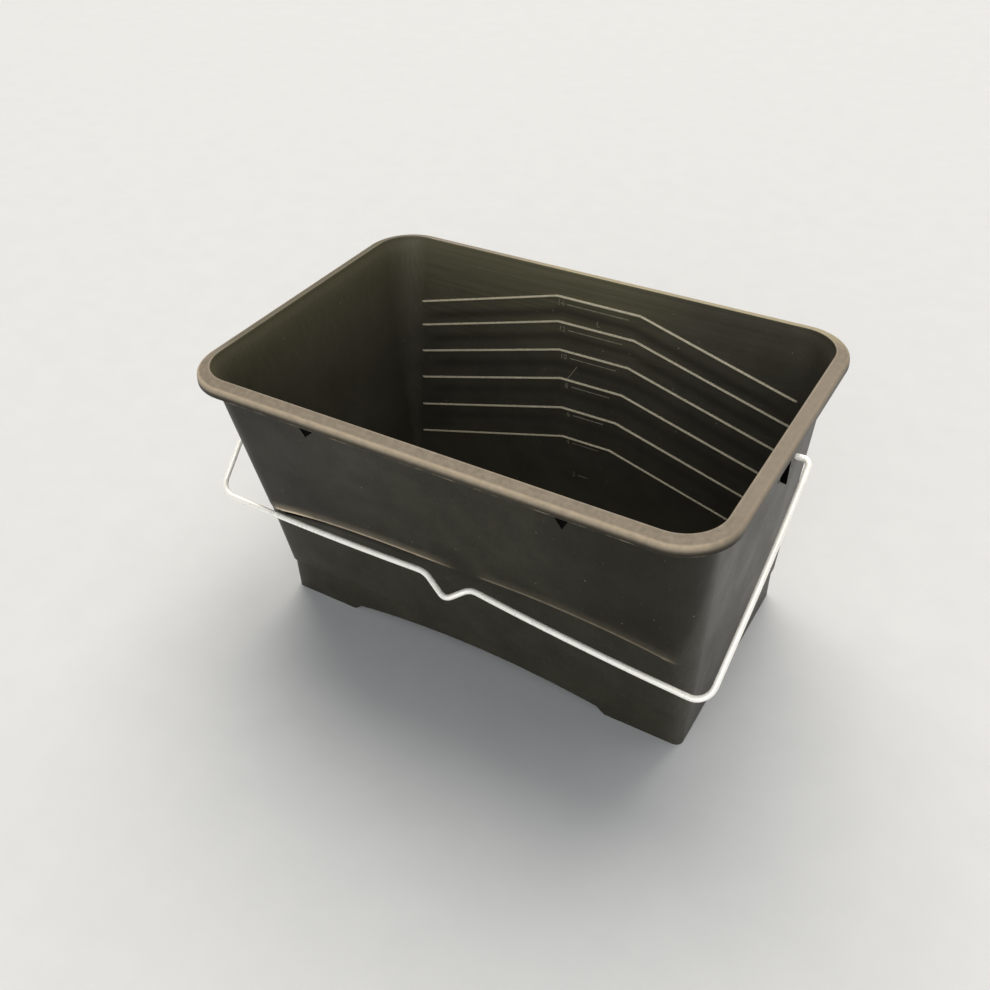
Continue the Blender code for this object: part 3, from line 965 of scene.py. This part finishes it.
def scratch(finish, start, end):
    """1 along a straight scratch on the rear wall's inner face, between two (x, drop) points."""
    begin = Vector((start[0], HEIGHT - start[1]))
    run = Vector((end[0], HEIGHT - end[1])) - begin
    length = run.length
    heading = run.normalized()
    aside = Vector((-heading.y, heading.x))
    along, off = (finish.x * way.x + finish.z * way.y - begin.dot(way) for way in (heading, aside))
    line = abs(off).ramp(SCRATCH_WIDTH, SCRATCH_WIDTH * 0.4)
    line = line * along.ramp(0.0, length * 0.1) * along.ramp(length, length * 0.8)
    return line * finish.y.ramp(*REAR_FACE)


def specks(finish, scale, size, chance):
    """Small light spots, scattered: one in a few cells of a Voronoi pattern holds one."""
    cells = finish.node("ShaderNodeTexVoronoi", {"Vector": finish.place, "Scale": scale})
    spot = Field(finish, cells.outputs["Distance"]).ramp(size, size * 0.5)
    tint = finish.node("ShaderNodeSeparateColor", {"Color": cells.outputs["Color"]})
    return spot * Field(finish, tint.outputs["Red"]).ramp(1 - chance, 1 - chance + 0.01)


# ---------------------------------------------------------------- the tub's plastic
def rub_inside(finish, colour, drag):
    """Rollers rub the inside paler towards its top, and painted light adds to that; painted shade keeps
    its right part darker, the left wall and the bottom get a little painted light, and painted shadow
    bands run under the ribs.
    """
    wear_and_light = finish.z.ramp(HEIGHT - 0.098, HEIGHT - 0.004) * drag.ramp(0.30, 0.62, 0.40, 0.75)
    wear_and_light = wear_and_light + finish.z.ramp(HEIGHT - 0.026, HEIGHT - 0.004) * 0.35
    left_wall = finish.x.ramp(-0.165, -0.179)
    # Painted shade: the inside's right part is kept darker.
    right_shade = finish.x.ramp(0.010, 0.100)
    wear_and_light = wear_and_light * (1.0 - left_wall * 0.35) * (1.0 - right_shade * 0.75) + left_wall * 0.13
    # Painted light: the inside's bottom is a little paler.
    deep = finish.z.ramp(0.075, 0.025, 0.0, 0.10)
    colour = finish.mix(wear_and_light + deep, colour, RUBBED_AND_LIT)
    # Painted shadow bands under the ribs.
    return finish.mix(rib_bands(finish) * 0.6, colour, SHADED)


def scuff_walls(finish, colour, drag):
    """The end walls are scuffed in their middle, and the front panel gets painted shade towards its
    sides.
    """
    ends = abs(finish.x).ramp(0.152, 0.184) * abs(finish.y).ramp(0.112, 0.070)
    scuffs = (finish.noise(620.0, 5.0, 0.8) + drag * 0.5).ramp(0.50, 1.02, 0.30, 0.95)
    colour = finish.mix(ends * scuffs, colour, SCUFFED)
    # Painted shade on the front panel's sides.
    panel = abs(finish.x).ramp(0.055, 0.135) * finish.y.ramp(-0.096, -0.102)
    return finish.mix(panel * 0.55, colour, SHADED)


def wear_rim(finish, colour):
    """The flange is worn tan, more yellow at the back, darker on the left, with a painted highlight on
    its shoulder.
    """
    rim = finish.z.ramp(HEIGHT - SKIRT_DROP + 0.0010, HEIGHT - 0.0035)
    back = finish.x.ramp(-0.120, -0.020) * finish.y.ramp(0.105, 0.125)
    left = finish.x.ramp(-0.150, -0.190) * finish.y.ramp(-0.105, -0.070)
    patchy = finish.noise(240.0, 4.0, 0.65).ramp(0.30, 0.72, 0.70, 1.0)
    colour = finish.mix(rim * patchy, colour, FLANGE)
    colour = finish.mix(rim * back * 0.24, colour, FLANGE_BACK)
    colour = finish.mix(rim * left * 0.72, colour, FLANGE_LEFT)
    # Painted highlight along the rim's shoulder, broken up by noise.
    patchy = finish.noise(190.0, 5.0, 0.7).ramp(0.30, 0.66, 0.42, 0.60)
    return finish.mix(shoulder_share(finish) * patchy, colour, HIGHLIGHT_PALE)


def rub_crease(finish, colour):
    """The front crease gets a painted highlight, most at its left, and painted shade on the wall under
    it.
    """
    thin, broad, under = crease_shares(finish)
    # Painted shade under the crease.
    colour = finish.mix(under * finish.x.ramp(-0.010, -0.080, 0.0, 0.9), colour, SHADED)
    along = finish.x.ramp(0.006, -0.026, 0.0, 0.90) + finish.x.ramp(-0.115, -0.150, 0.0, 0.90)
    along = along + finish.x.ramp(0.018, 0.030, 0.0, 0.32)
    patchy = finish.noise(160.0, 4.0, 0.6).ramp(0.30, 0.66, 0.75, 1.0)
    # Painted highlight on the crease's upper edge.
    return finish.mix((thin * 0.60 + broad * 0.20) * along * patchy, colour, CREASE_HIGHLIGHT)


def rub_edges(finish, colour):
    """Painted highlights: broken pale lines along the plinth's step and the skirt's lower edge."""
    broken = finish.noise(60.0, 5.0, 0.7).ramp(0.45, 0.68, 0.02, 0.30)
    lines = line_share(finish, PLINTH_HEIGHT - 0.0006) + line_share(finish, HEIGHT - SKIRT_DROP + 0.0005)
    return finish.mix(lines * broken, colour, HIGHLIGHT_PALE)


def drag_lines(finish, inside):
    """Fine lines that the mould leaves: level on the inside's long walls, and else downwards."""
    down = finish.noise(1.0, 5.0, 0.62, finish.stretched((620, 620, 9)))
    if not inside:
        return down
    level = finish.noise(1.0, 5.0, 0.62, finish.stretched((11, 11, 560)))
    end_wall = abs(finish.x).ramp(0.150, 0.172)
    return finish.mix(end_wall, level, down)


def tub_plastic(inside):
    """Near-black recycled polypropylene: satin grain, drag lines, a worn rim, specks and scuffs, with
    painted highlights, painted light and painted shade.
    """
    finish = Finish("tub_plastic_inside" if inside else "tub_plastic_outside",
                    IOR=1.49, Specular_IOR_Level=0.38 if inside else 0.12)
    finish.x, finish.y, finish.z = finish.coordinates()
    mottle = finish.noise(38.0, 5.0, 0.6).ramp(0.32, 0.70)
    colour = finish.mix(mottle, *(GRAIN_INSIDE if inside else GRAIN_OUTSIDE))
    fine = finish.noise(1100.0, 3.0, 0.6).ramp(0.35, 0.68)
    colour = finish.mix(fine * (0.12 if inside else 0.18), colour, WORN)
    drag = drag_lines(finish, inside)
    streaks = drag.ramp(0.52, 0.80)
    colour = finish.mix(streaks * 0.22, colour, WORN)
    spots = specks(finish, 130.0, 0.10, 0.10).at_least(specks(finish, 420.0, 0.16, 0.05))
    if inside:
        colour = rub_inside(finish, colour, drag)
        spots = spots.at_least(scratch(finish, *SCRATCH))
    else:
        colour = scuff_walls(finish, colour, drag)
        colour = wear_rim(finish, colour)
        colour = rub_crease(finish, colour)
        colour = rub_edges(finish, colour)
    finish.use("Base Color", finish.mix(spots * 0.7, colour, DUST))

    gloss = finish.noise(24.0, 4.0, 0.55).ramp(0.30, 0.72, 0.38, 0.50)
    finish.use("Roughness", gloss + streaks * 0.08 + spots * 0.2)
    normal = finish.bump(finish.noise(15.0, 2.0, 0.4), 0.15, 0.0012)
    normal = finish.bump(finish.noise(420.0, 4.0, 0.6), 0.45, 0.00012, normal)
    normal = finish.bump(drag, 0.12, 0.00010, normal)
    normal = finish.bump(finish.noise(2600.0, 2.0, 0.5), 0.35, 0.00004, normal)
    finish.use("Normal", normal)
    return finish.material


def notch_plastic():
    """The same plastic, dull and painted near black as painted shade: deep in the notches, in the lugs'
    hollows and pin holes, and in the crease's shadow.
    """
    finish = Finish("notch_plastic", IOR=1.3, Specular_IOR_Level=0.05)
    grain = finish.noise(300.0, 3.0, 0.5)
    finish.use("Base Color", finish.mix(grain, *PAINTED_SHADE_TONES))
    finish.use("Roughness", grain.ramp(0.3, 0.7, 0.7, 0.9))
    finish.use("Normal", finish.bump(grain, 0.3, 0.0001))
    return finish.material


def raised_plastic(name, tones):
    """Ribs and marks: the same plastic, painted paler; on the ribs that stands partly for roller wear on
    their crests and partly for a painted highlight.
    """
    finish = Finish(name, IOR=1.49)
    paler_patches = finish.noise(210.0, 4.0, 0.6).ramp(0.30, 0.70)
    finish.use("Base Color", finish.mix(paler_patches, *tones))
    finish.use("Roughness", finish.noise(90.0, 3.0, 0.5).ramp(0.3, 0.7, 0.34, 0.52))
    finish.use("Normal", finish.bump(finish.noise(900.0, 3.0, 0.5), 0.25, 0.00008))
    return finish.material


# ---------------------------------------------------------------- the other materials
def handle_wire():
    """Zinc-plated drawn wire: bright, with faint drawing lines and dull patches."""
    finish = Finish("handle_wire", Metallic=0.25)
    colour = finish.mix(finish.noise(70.0, 5.0, 0.6).ramp(0.30, 0.72), *WIRE_TONES)
    pits = specks(finish, 900.0, 0.20, 0.07)
    finish.use("Base Color", finish.mix(pits * 0.35, colour, WIRE_PIT))
    finish.use("Roughness", finish.noise(150.0, 4.0, 0.6).ramp(0.3, 0.7, 0.24, 0.44))
    lines = finish.noise(1.0, 3.0, 0.6, finish.stretched((60, 1500, 1500)))
    normal = finish.bump(lines, 0.15, 0.00006)
    finish.use("Normal", finish.bump(finish.noise(1200.0, 3.0, 0.5), 0.15, 0.00004, normal))
    return finish.material


def floor_paper():
    """The studio's pale paper floor."""
    finish = Finish("floor_paper", Roughness=0.9)
    fibre = finish.noise(30.0, 6.0, 0.6).ramp(0.2, 0.8)
    finish.use("Base Color", finish.mix(fibre, *PAPER_TONES))
    finish.use("Normal", finish.bump(finish.noise(900.0, 3.0, 0.5), 0.05, 0.0002))
    return finish.material


# ================================================================ studio
def build_floor():
    bm = bmesh.new()
    bmesh.ops.create_circle(bm, cap_ends=True, segments=96, radius=FLOOR_RADIUS)
    floor = mesh_piece("studio_floor", bm)
    floor.data.materials.append(floor_paper())
    floor.location.z = CAD_LOW.z


def direction(azimuth, elevation):
    """Unit vector towards a place round the object: azimuth 0 is the front, 90 the right."""
    az, el = math.radians(azimuth), math.radians(elevation)
    return Vector((math.sin(az) * math.cos(el), -math.cos(az) * math.cos(el), math.sin(el)))


def soft_sun(name, azimuth, elevation, spread_degrees, radiance, colour):
    """A broad far light: a disc of sky that wide and that bright."""
    data = bpy.data.lights.new(name, "SUN")
    data.angle = math.radians(spread_degrees)
    solid_angle = 2 * math.pi * (1 - math.cos(data.angle / 2))
    data.energy = radiance * solid_angle
    data.color = colour
    lamp = bpy.data.objects.new(name, data)
    bpy.context.collection.objects.link(lamp)
    lamp.rotation_euler = direction(azimuth, elevation).to_track_quat("Z", "Y").to_euler()


def build_lights():
    for light in LIGHTS:
        soft_sun(*light)
    world = bpy.data.worlds.new("studio")
    world.use_nodes = True
    background = world.node_tree.nodes["Background"]
    background.inputs["Color"].default_value = WORLD_COLOUR
    background.inputs["Strength"].default_value = WORLD_STRENGTH
    bpy.context.scene.world = world


def build_camera():
    data = bpy.data.cameras.new("camera")
    data.lens = CAMERA_LENS
    data.sensor_width = CAMERA_SENSOR
    data.clip_end = 50
    camera = bpy.data.objects.new("camera", data)
    bpy.context.collection.objects.link(camera)
    back = direction(CAMERA_AZIMUTH, CAMERA_ELEVATION)
    right = Vector((0, 0, 1)).cross(back).normalized()
    level = Matrix((right, back.cross(right), back)).transposed()
    turned = level @ Matrix.Rotation(math.radians(CAMERA_ROLL), 3, "Z")
    place = CAMERA_TARGET + back * CAMERA_DISTANCE
    camera.matrix_world = Matrix.Translation(place) @ turned.to_4x4()
    bpy.context.scene.camera = camera


# ================================================================ assembly
def attach(piece, body):
    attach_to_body(piece, body)


def build_tub():
    outer = tub_plastic(inside=False)
    # Near-black plastic that paints shade into recesses and under the crease.
    painted_shade = notch_plastic()
    ribs = raised_plastic("rib_plastic", RIB_WEAR_AND_HIGHLIGHT_TONES)
    marks = raised_plastic("mark_plastic", MARK_TONES)
    shell = build_shell(outer, tub_plastic(inside=True), painted_shade)
    attach(shell, "tub")
    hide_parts("tub")
    parts = [build_ribs(ribs), build_mark_lines(marks)] + build_figures(marks)
    parts += [build_lug(side, outer, painted_shade) for side in (-1, 1)]
    for part in parts:
        attach(part, "tub")


def build_handle():
    bail = build_bail(handle_wire())
    attach(bail, "handle")
    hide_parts("wire_handle")


build_camera()
build_tub()
build_handle()
build_floor()
build_lights()
bpy.context.scene.view_settings.view_transform = "Standard"
bpy.context.view_layer.update()
